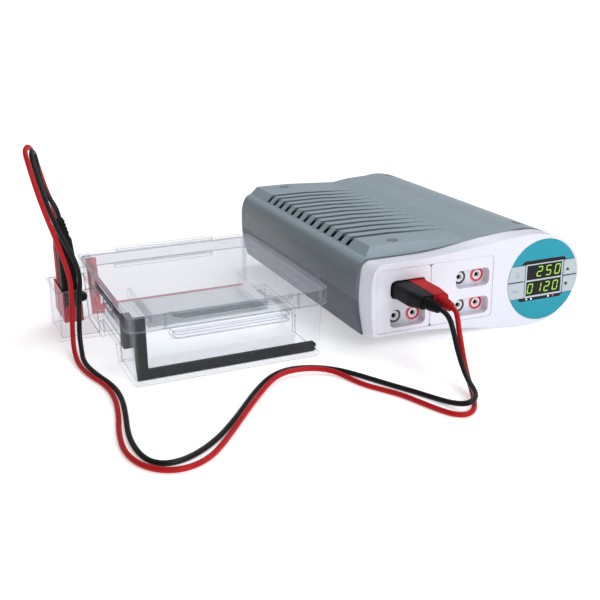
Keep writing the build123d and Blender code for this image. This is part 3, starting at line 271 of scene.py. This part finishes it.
M["black"] = plastic("black_plastic", (0.022, 0.022, 0.024), rough=0.42, vary=0.10, grain=0.08, edge=0.0003)
M["plug_black"] = plastic("plug_black", (0.007, 0.007, 0.008), rough=0.50, vary=0.10, grain=0.06, edge=0.0009, specular=0.12)
M["plug_red"] = plastic("plug_red", (0.46, 0.012, 0.016), rough=0.50, vary=0.05, grain=0.06, edge=0.0009, specular=0.08)
M["relief_black"] = plastic("relief_black", (0.007, 0.007, 0.008), rough=0.50, vary=0.12, grain=0.10, edge=0.0003, specular=0.12)
M["relief_red"] = plastic("relief_red", (0.44, 0.012, 0.016), rough=0.50, vary=0.06, grain=0.10, edge=0.0003, specular=0.12)
M["ring_black"] = plastic("ring_black", (0.012, 0.012, 0.014), rough=0.16, vary=0.10, coat=0.5)
M["ring_red"] = plastic("ring_red", (0.68, 0.014, 0.026), rough=0.16, vary=0.05, coat=0.5)
M["insert"] = plastic("insert_white", (0.80, 0.81, 0.84), rough=0.28, vary=0.02)
M["teal"] = plastic("panel_teal", (0.010, 0.300, 0.400), rough=0.36, vary=0.03, grain=0.03, specular=0.3)
M["bar"] = plastic("indicator_dark", (0.006, 0.006, 0.008), rough=0.3, vary=0.1, specular=0.2)
M["frame"] = plastic("display_frame_light", (0.48, 0.55, 0.61), rough=0.3, vary=0.02)
M["lens"] = plastic("display_lens", (0.007, 0.006, 0.009), rough=0.16, vary=0.15, specular=0.2)
M["key"] = plastic("key_membrane", (0.460, 0.525, 0.575), rough=0.38, vary=0.015, grain=0.05, edge=0.0003)
M["legend"] = plastic("legend_ink", (0.008, 0.010, 0.016), rough=0.6, vary=0.15)
M["legend_soft"] = plastic("legend_grey", (0.22, 0.26, 0.30), rough=0.6, vary=0.1)
M["board"] = plastic("circuit_board", (0.02, 0.16, 0.06), rough=0.35, vary=0.14, scale=240, coat=0.2)
M["sink"] = brushed("heat_sink", (0.55, 0.56, 0.57), rough=0.34, stretch=(30, 1, 30))
M["capacitor"] = plastic("capacitor_sleeve", (0.02, 0.035, 0.10), rough=0.25, vary=0.08)
M["core"] = plastic("core_laminate", (0.16, 0.15, 0.145), rough=0.55, vary=0.18, scale=220, metallic=0.6)
M["winding"] = plastic("winding_tape", (0.60, 0.40, 0.08), rough=0.35, vary=0.14, scale=160)
M["fan"] = plastic("fan_plastic", (0.02, 0.021, 0.023), rough=0.45, vary=0.1)
M["fuse"] = plastic("fuse_glass", (0.62, 0.64, 0.64), rough=0.15, vary=0.1, metallic=0.5)
# the clear materials carry painted shade along their edges; the tank and lid also on their upright corners
M["clear_tank"] = clear("tank_clear", tint=(0.80, 0.83, 0.90), alpha=0.20, veil=0.90,
                        corner=(*tk(90.2, 102.35, 0)[:2], 0.0862, 0.0983))
M["clear_lid"] = clear("lid_clear", tint=(0.68, 0.72, 0.79), alpha=0.33, veil=0.50, upright=(0.16, 0.92),
                       corner=(*tk(90.2, 102.35, 0)[:2], 0.0902, 0.1023))
M["clear_box"] = clear("terminal_clear", tint=(0.76, 0.76, 0.83), alpha=0.28, veil=0.85)
M["clear_tray"] = clear("tray_clear", tint=(0.92, 0.94, 0.96), alpha=0.06, painted_edge_colour=(0.55, 0.58, 0.64), painted_edge_width=0.0012)
# painted glow: the stage emits a little of its own colour, brightening it under the clear lid and tray
M["stage"] = plastic("stage_white", (0.93, 0.94, 0.965), painted_glow=0.16, rough=0.35, vary=0.015, edge=0.0004)
M["cassette"] = plastic("cassette_black", (0.005, 0.006, 0.007), rough=0.5, vary=0.15, edge=0.0004, specular=0.05)
M["cassette_red"] = plastic("cassette_pink", (0.72, 0.13, 0.16), rough=0.3, vary=0.06, edge=0.0004, coat=0.2)
M["terminal_red"] = plastic("terminal_red", (0.50, 0.012, 0.024), rough=0.3, vary=0.06, edge=0.0005, specular=0.3)
M["terminal_black"] = plastic("terminal_black", (0.010, 0.010, 0.012), rough=0.35, vary=0.12, edge=0.0005, specular=0.25)
M["bus_red"] = plastic("bus_red", (0.52, 0.07, 0.10), rough=0.3, vary=0.08)
M["bus_black"] = plastic("bus_black", (0.006, 0.006, 0.008), rough=0.5, vary=0.1, specular=0.05)
M["lead_red"] = plastic("lead_red", (0.44, 0.008, 0.011), rough=0.36, vary=0.05, scale=120, grain=0.03, specular=0.16)
M["lead_black"] = plastic("lead_black", (0.007, 0.007, 0.009), rough=0.34, vary=0.12, scale=120, grain=0.03, specular=0.22)
M["lime"] = glow("digit_lime", (0.30, 0.58, 0.045), 0.55)
M["lamp_white"] = glow("lamp_white", (0.95, 0.95, 0.90), 1.1)


def lamps_material():
    """White lamps, the one at the right red, told apart by where they sit along the panel."""
    m, t, b = new_material("panel_lamps")
    src = coords(t)
    sep = t.nodes.new("ShaderNodeSeparateXYZ")
    t.links.new(src, sep.inputs[0])
    right = math_node(t, "GREATER_THAN", sep.outputs["X"], OX + 0.1655)
    n = noise(t, src, 900.0, 2.0)
    white = mix(t, spread(t, n, 0, 1), (0.82, 0.83, 0.80), (0.92, 0.92, 0.90))
    c = mix(t, right, white, (0.85, 0.03, 0.02))
    t.links.new(c, b.inputs["Base Color"])
    t.links.new(c, b.inputs["Emission Color"])
    b.inputs["Emission Strength"].default_value = 0.9
    b.inputs["Roughness"].default_value = 0.25
    return m


def carrier_material():
    """Dark backing, light where it shows as the fine upright joints beside the display frame."""
    m, t, b = new_material("panel_carrier")
    src = coords(t)
    sep = t.nodes.new("ShaderNodeSeparateXYZ")
    t.links.new(src, sep.inputs[0])
    near = None
    for x in (0.1344, 0.1781):
        d = math_node(t, "ABSOLUTE", math_node(t, "SUBTRACT", sep.outputs["X"], OX + x))
        k = math_node(t, "LESS_THAN", d, 0.0009)
        near = k if near is None else math_node(t, "MAXIMUM", near, k)
    n = noise(t, src, 500.0, 2.0)
    dark = mix(t, spread(t, n, 0, 1), (0.03, 0.034, 0.038), (0.045, 0.05, 0.055))
    t.links.new(mix(t, near, dark, (0.62, 0.68, 0.73)), b.inputs["Base Color"])
    b.inputs["Roughness"].default_value = 0.4
    return m


M["lamps"] = lamps_material()
M["carrier"] = carrier_material()

LOOK = {
    "ps_front_bezel": "bezel", "socket_plate_left": "plate", "socket_plate_right": "plate", "ps_top_cover": "cover",
    "ps_base_tray": "base", "ps_feet": "rubber", "cover_posts": "steel", "cover_screws": "screw",
    "rear_panel": "panel_paint", "panel_screws": "screw", "fan_guard": "steel", "inlet_pins": "nickel",
    "plug_pins": "nickel", "socket_contacts": "nickel", "terminal_sleeves": "nickel", "electrode_wires": "platinum",
    "mains_inlet": "black", "fuse_drawer": "black", "switch_body": "black", "power_rocker": "black",
    "fan_frame": "fan", "fan_rotor": "fan", "indicator_bars": "bar", "front_cassette": "cassette",
    "black_sockets": "ring_black", "red_sockets": "ring_red", "socket_inserts": "insert", "panel_carrier": "carrier",
    "panel_disc": "teal", "display_frame": "frame", "display_lenses": "lens", "status_leds": "lamps",
    "key_mode": "key", "key_timer": "key", "key_up": "key", "key_down": "key", "display_board": "board",
    "main_board": "board", "heat_sinks": "sink", "capacitors": "capacitor", "transformer_core": "core",
    "transformer_winding": "winding", "fuses": "fuse", "tank_body": "clear_tank", "tank_lid": "clear_lid",
    "terminal_box": "clear_box", "gel_tray": "clear_tray", "gel_stage": "stage", "rear_cassette": "cassette_red",
    "red_terminal": "terminal_red", "black_terminal": "terminal_black", "terminal_cap": "terminal_black",
    "black_busbar": "bus_black", "red_busbar": "bus_red", "plugs_black": "plug_black", "plugs_red": "plug_red",
    "reliefs_black": "relief_black", "reliefs_red": "relief_red", "lead_red": "lead_red", "lead_black": "lead_black",
}
for name, o in N.items():
    o.data.materials.clear()
    o.data.materials.append(M[LOOK[name]])


# ---------------------------------------------------------------- added pieces
def mesh_piece(name, verts, faces, material, body=ROOT, smooth=False):
    me = bpy.data.meshes.new(name)
    me.from_pydata([tuple(v) for v in verts], [], faces)
    me.validate()
    me.materials.append(material)
    o = bpy.data.objects.new(name, me)
    bpy.context.scene.collection.objects.link(o)
    if smooth:
        for p in me.polygons:
            p.use_smooth = True
    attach(o, body)
    return o


def slab(polys, y0, y1, place=ps):
    """Prisms between two depths from outlines in x and z."""
    verts, faces = [], []
    for poly in polys:
        if sum(a[0] * b[1] - b[0] * a[1] for a, b in zip(poly, poly[1:] + poly[:1])) < 0:
            poly = poly[::-1]
        k = len(verts)
        n = len(poly)
        verts += [place(x, y0, z) for x, z in poly] + [place(x, y1, z) for x, z in poly]
        faces.append(tuple(range(k, k + n)))
        faces.append(tuple(range(k + 2 * n - 1, k + n - 1, -1)))
        for i in range(n):
            j = (i + 1) % n
            faces.append((k + i, k + n + i, k + n + j, k + j))
    return verts, faces


SEGMENTS = {"0": "abcdef", "1": "bc", "2": "abged", "3": "abgcd", "4": "fgbc", "5": "afgcd", "6": "afgecd",
            "7": "abc", "8": "abcdefg", "9": "abcdfg"}


def digit(ch, x, z, w, h, s, slant=0.13):
    """Outlines of one seven-segment digit with its lower left corner at x, z."""
    m = h / 2
    g = s * 0.12
    hs = s / 2

    def bar_h(zc):
        return [(hs + g, zc), (s + g, zc + hs), (w - s - g, zc + hs), (w - hs - g, zc), (w - s - g, zc - hs), (s + g, zc - hs)]

    def bar_v(xc, z0, z1):
        return [(xc, z0 + g), (xc + hs, z0 + hs + g), (xc + hs, z1 - hs - g), (xc, z1 - g), (xc - hs, z1 - hs - g), (xc - hs, z0 + hs + g)]

    parts = {"a": bar_h(h - hs), "g": bar_h(m), "d": bar_h(hs), "f": bar_v(hs, m, h - hs), "b": bar_v(w - hs, m, h - hs),
             "e": bar_v(hs, hs, m), "c": bar_v(w - hs, hs, m)}
    return [[(x + a + slant * b, z + b) for a, b in parts[k]] for k in SEGMENTS[ch]]


def number(name, text, x, z, pitch, w, h, s):
    polys = []
    for i, ch in enumerate(text):
        polys += digit(ch, x + i * pitch, z, w, h, s)
    v, f = slab(polys, 0.66, 0.76)
    return mesh_piece(name, v, f, M["lime"])


number("digits_upper", "250", 147.7, 47.8, 10.2, 6.2, 10.1, 0.98)
number("digits_lower", "0120", 137.7, 32.1, 9.6, 6.0, 9.8, 0.98)

# arrows of the two right keys, marks of the two left ones
ARROW_UP = [(180.9, 50.0), (185.5, 50.0), (183.2, 53.6)]
ARROW_DOWN = [(179.9, 38.2), (184.5, 38.2), (182.2, 34.6)]
v, f = slab([ARROW_UP], -0.24, -0.19)
mesh_piece("arrow_up", v, f, M["legend"], "key_up_b")
v, f = slab([ARROW_DOWN], -0.24, -0.19)
mesh_piece("arrow_down", v, f, M["legend"], "key_down_b")
v, f = slab([[(124.6, 54.6), (125.4, 55.4), (126.2, 54.6), (125.4, 53.8)], [(122.2, 52.4), (128.6, 52.4), (128.6, 52.1), (122.2, 52.1)],
             [(123.8, 50.6), (127.0, 50.6), (127.0, 49.8), (123.8, 49.8)]], -0.24, -0.19)
mesh_piece("mark_mode", v, f, M["legend_soft"], "key_mode_b")
v, f = slab([[(120.9, 37.0), (126.9, 37.0), (126.9, 36.0), (120.9, 36.0)]], -0.24, -0.19)
mesh_piece("mark_timer", v, f, M["legend_soft"], "key_timer_b")

# ---------------------------------------------------------------- leads
LEAD_D = 4.4
LEAD_Z = LEAD_D / 2 + 0.05
LEAD_RED = [
    (17.6, -57.5, 55.6), (18.1, -62.96, 55.1), (16.9, -68.4, 49.2), (15.2, -74.0, 40.2), (13.6, -80.5, 31.2),
    (12.2, -86.0, 23.6), (10.7, -93.0, 14.6), (8.3, -102.0, 7.6), (4.6, -112.5, 3.4), (-0.2, -122.0, LEAD_Z),
    (-6.0, -132.0, LEAD_Z), (-12.8, -139.6, LEAD_Z), (-21.2, -142.2, LEAD_Z), (-28.6, -137.0, LEAD_Z),
    (-33.6, -127.4, LEAD_Z), (-38.4, -114.6, LEAD_Z), (-46.4, -91.2, LEAD_Z), (-55.2, -76.4, LEAD_Z),
    (-64.2, -61.8, LEAD_Z), (-69.6, -46.5, LEAD_Z), (-74.0, -32.6, 3.2), (-82.0, -22.5, 4.4), (-95.0, -16.4, 5.2),
    (-113.2, -15.1, 5.4), (-128.0, -22.5, 5.4), (-143.5, -37.8, 5.2), (-170.6, -70.0, 4.4), (-196.9, -102.1, 2.6),
    (-216.7, -124.0, LEAD_Z), (-235.6, -132.6, LEAD_Z), (-252.0, -129.4, LEAD_Z), (-265.0, -115.4, LEAD_Z),
    (-270.9, -91.6, LEAD_Z), (-267.6, -61.3, LEAD_Z), (-260.3, -30.1, LEAD_Z), (-255.9, 2.0, LEAD_Z),
    (-257.6, 29.5, LEAD_Z), (-265.6, 54.0, LEAD_Z), (-269.4, 80.0, LEAD_Z), (-268.6, 103.0, 5.8),
    (-265.9, 120.6, 15.6), (-263.2, 130.2, 30.5), (-261.6, 134.2, 46.0),
    (-260.8, 135.9, 62.4), (-264.7, 137.8, 80.9), (-269.6, 140.4, 100.3), (-274.8, 142.8, 118.7),
    (-279.7, 145.8, 138.1), (-283.0, 149.8, 155.7), (-284.8, 153.8, 167.3), (-285.7, 159.0, 175.3),
    (-283.7, 164.6, 178.6), (-280.3, 171.6, 178.4), (-277.3, 177.4, 173.7), (-274.3, 182.2, 165.3),
    (-271.7, 184.4, 155.4), (-269.1, 185.4, 143.2), (-266.0, 184.9, 131.6), (-262.919, 183.296, 122.391),
    (-261.5, 183.1, 113.0),
]
LEAD_BLACK = [
    (6.4, -57.0, 55.6), (7.746, -62.82, 55.046), (9.6, -68.6, 49.6), (9.3, -75.0, 40.6), (7.8, -82.5, 31.2),
    (6.4, -91.0, 22.6), (4.9, -100.5, 15.4), (3.2, -110.0, 11.2), (1.2, -119.5, 9.4), (-2.4, -127.5, 8.9),
    (-8.0, -133.2, 8.0), (-14.8, -132.8, 6.2), (-19.6, -125.4, 4.3), (-23.6, -114.5, 2.9), (-28.6, -102.0, LEAD_Z),
    (-35.4, -88.0, LEAD_Z), (-43.9, -73.0, LEAD_Z), (-52.9, -55.5, LEAD_Z), (-61.6, -38.5, LEAD_Z),
    (-71.0, -23.5, LEAD_Z), (-83.0, -12.5, LEAD_Z), (-98.0, -5.6, LEAD_Z), (-113.0, -5.2, LEAD_Z),
    (-127.5, -12.4, LEAD_Z), (-141.5, -25.5, LEAD_Z), (-157.1, -43.4, LEAD_Z), (-181.9, -75.3, LEAD_Z),
    (-205.8, -101.9, LEAD_Z), (-228.7, -118.0, LEAD_Z), (-246.9, -121.5, LEAD_Z), (-257.8, -113.3, LEAD_Z),
    (-262.4, -95.1, LEAD_Z), (-262.0, -67.6, LEAD_Z), (-255.3, -32.4, LEAD_Z), (-251.0, -2.0, LEAD_Z),
    (-251.9, 25.2, LEAD_Z), (-260.4, 56.6, LEAD_Z), (-264.2, 84.4, LEAD_Z), (-261.6, 107.0, 6.0),
    (-259.6, 122.4, 15.0), (-256.6, 131.8, 30.0), (-254.4, 136.8, 45.5),
    (-251.2, 140.4, 60.8), (-254.0, 143.6, 78.0), (-261.8, 146.8, 95.6), (-268.1, 149.8, 113.1),
    (-272.9, 152.6, 130.8), (-276.4, 155.6, 146.7), (-278.7, 158.6, 160.4), (-280.1, 161.8, 169.8),
    (-279.4, 165.6, 173.8), (-277.0, 170.6, 173.6), (-275.2, 173.8, 168.2), (-274.1, 175.2, 160.0),
    (-273.0, 174.4, 146.9), (-269.5, 170.0, 134.6), (-262.352, 164.6, 122.012), (-261.1, 164.3, 112.6),
]


def lead(name, route):
    cu = bpy.data.curves.new(name + "_flex", "CURVE")
    cu.dimensions = "3D"
    cu.bevel_depth = LEAD_D / 2000
    cu.bevel_resolution = 6
    cu.resolution_u = 10
    cu.use_fill_caps = True
    s = cu.splines.new("NURBS")
    s.points.add(len(route) - 1)
    for p, (x, y, z) in zip(s.points, route):
        p.co = (*ps(x, y, z), 1.0)
    s.order_u = 3
    s.use_endpoint_u = True
    s.use_smooth = True
    cu.materials.append(M[name])
    o = bpy.data.objects.new(name + "_flex", cu)
    bpy.context.scene.collection.objects.link(o)
    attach(o, ROOT)
    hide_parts(name)
    return o


lead("lead_red", LEAD_RED)
lead("lead_black", LEAD_BLACK)

# ---------------------------------------------------------------- floor, light, camera
floor = bpy.data.meshes.new("floor")
R = 60.0
floor.from_pydata([(-R, -R, 0), (R, -R, 0), (R, R, 0), (-R, R, 0)], [], [(0, 1, 2, 3)])
floor_o = bpy.data.objects.new("floor", floor)
bpy.context.scene.collection.objects.link(floor_o)


def floor_material():
    m, t, b = new_material("floor_pale")
    src = coords(t)
    n = noise(t, src, 6.0, 4.0)
    t.links.new(mix(t, spread(t, n, 0, 1), (0.85, 0.85, 0.86), (0.87, 0.87, 0.88)), b.inputs["Base Color"])
    b.inputs["Roughness"].default_value = 0.8
    b.inputs["Specular IOR Level"].default_value = 0.2
    far = t.nodes.new("ShaderNodeVectorMath")
    far.operation = "LENGTH"
    t.links.new(src, far.inputs[0])
    b.inputs["Emission Color"].default_value = (1.0, 1.0, 1.0, 1.0)
    t.links.new(spread(t, far.outputs["Value"], 0.44, 0.84, 0.35, 1.8), b.inputs["Emission Strength"])
    return m


floor.materials.append(floor_material())

world = bpy.data.worlds.new("studio")
bpy.context.scene.world = world
world.use_nodes = True
bg = world.node_tree.nodes["Background"]
wt = world.node_tree
# soft room light, a little darker on the left and lighter above
way = wt.nodes.new("ShaderNodeSeparateXYZ")
wt.links.new(wt.nodes.new("ShaderNodeTexCoord").outputs["Generated"], way.inputs[0])
tone = math_node(wt, "MULTIPLY_ADD", way.outputs["X"], 0.22)
tone.node.inputs[2].default_value = 0.66
lift = math_node(wt, "MULTIPLY_ADD", way.outputs["Z"], 0.22)
wt.links.new(tone, lift.node.inputs[2])
wt.links.new(mix(wt, lift, (0.0, 0.0, 0.0), (1.0, 1.0, 1.0)), bg.inputs["Color"])
bg.inputs["Strength"].default_value = 0.50


def area(name, at, aim, size, power, color=(1, 1, 1)):
    l = bpy.data.lights.new(name, "AREA")
    l.shape = "RECTANGLE"
    l.size, l.size_y = size
    l.energy = power
    l.color = color
    o = bpy.data.objects.new(name, l)
    o.location = at
    o.rotation_euler = (Vector(aim) - Vector(at)).to_track_quat("-Z", "Y").to_euler()
    bpy.context.scene.collection.objects.link(o)
    return o


area("key_front", (0.5, -2.25, 1.25), (0.0, 0.0, 0.05), (1.4, 1.0), 25.5)
area("top_soft", (0.9, 0.2, 2.2), (0.05, 0.0, 0.0), (1.6, 1.6), 21.0)

yaw, pitch, roll = -0.407, 0.332, -0.012
f3 = Vector((-math.sin(yaw) * math.cos(pitch), math.cos(yaw) * math.cos(pitch), -math.sin(pitch)))
r3 = Vector((math.cos(yaw), math.sin(yaw), 0.0))
u3 = r3.cross(f3)
r2 = math.cos(roll) * r3 + math.sin(roll) * u3
u2 = -math.sin(roll) * r3 + math.cos(roll) * u3
cam = bpy.data.cameras.new("photo_camera")
cam.sensor_width = 36.0
cam.lens = 933.75 / 600.0 * 36.0
cam.clip_start = 0.02
cam.clip_end = 200.0
cam_o = bpy.data.objects.new("photo_camera", cam)
rot = Matrix((r2, u2, -f3)).transposed().to_4x4()
cam_o.matrix_world = Matrix.Translation(ps(-388.21, -680.07, 316.27)) @ rot
bpy.context.scene.collection.objects.link(cam_o)
bpy.context.scene.camera = cam_o

sc = bpy.context.scene
sc.view_settings.view_transform = "Standard"
sc.view_settings.look = "None"
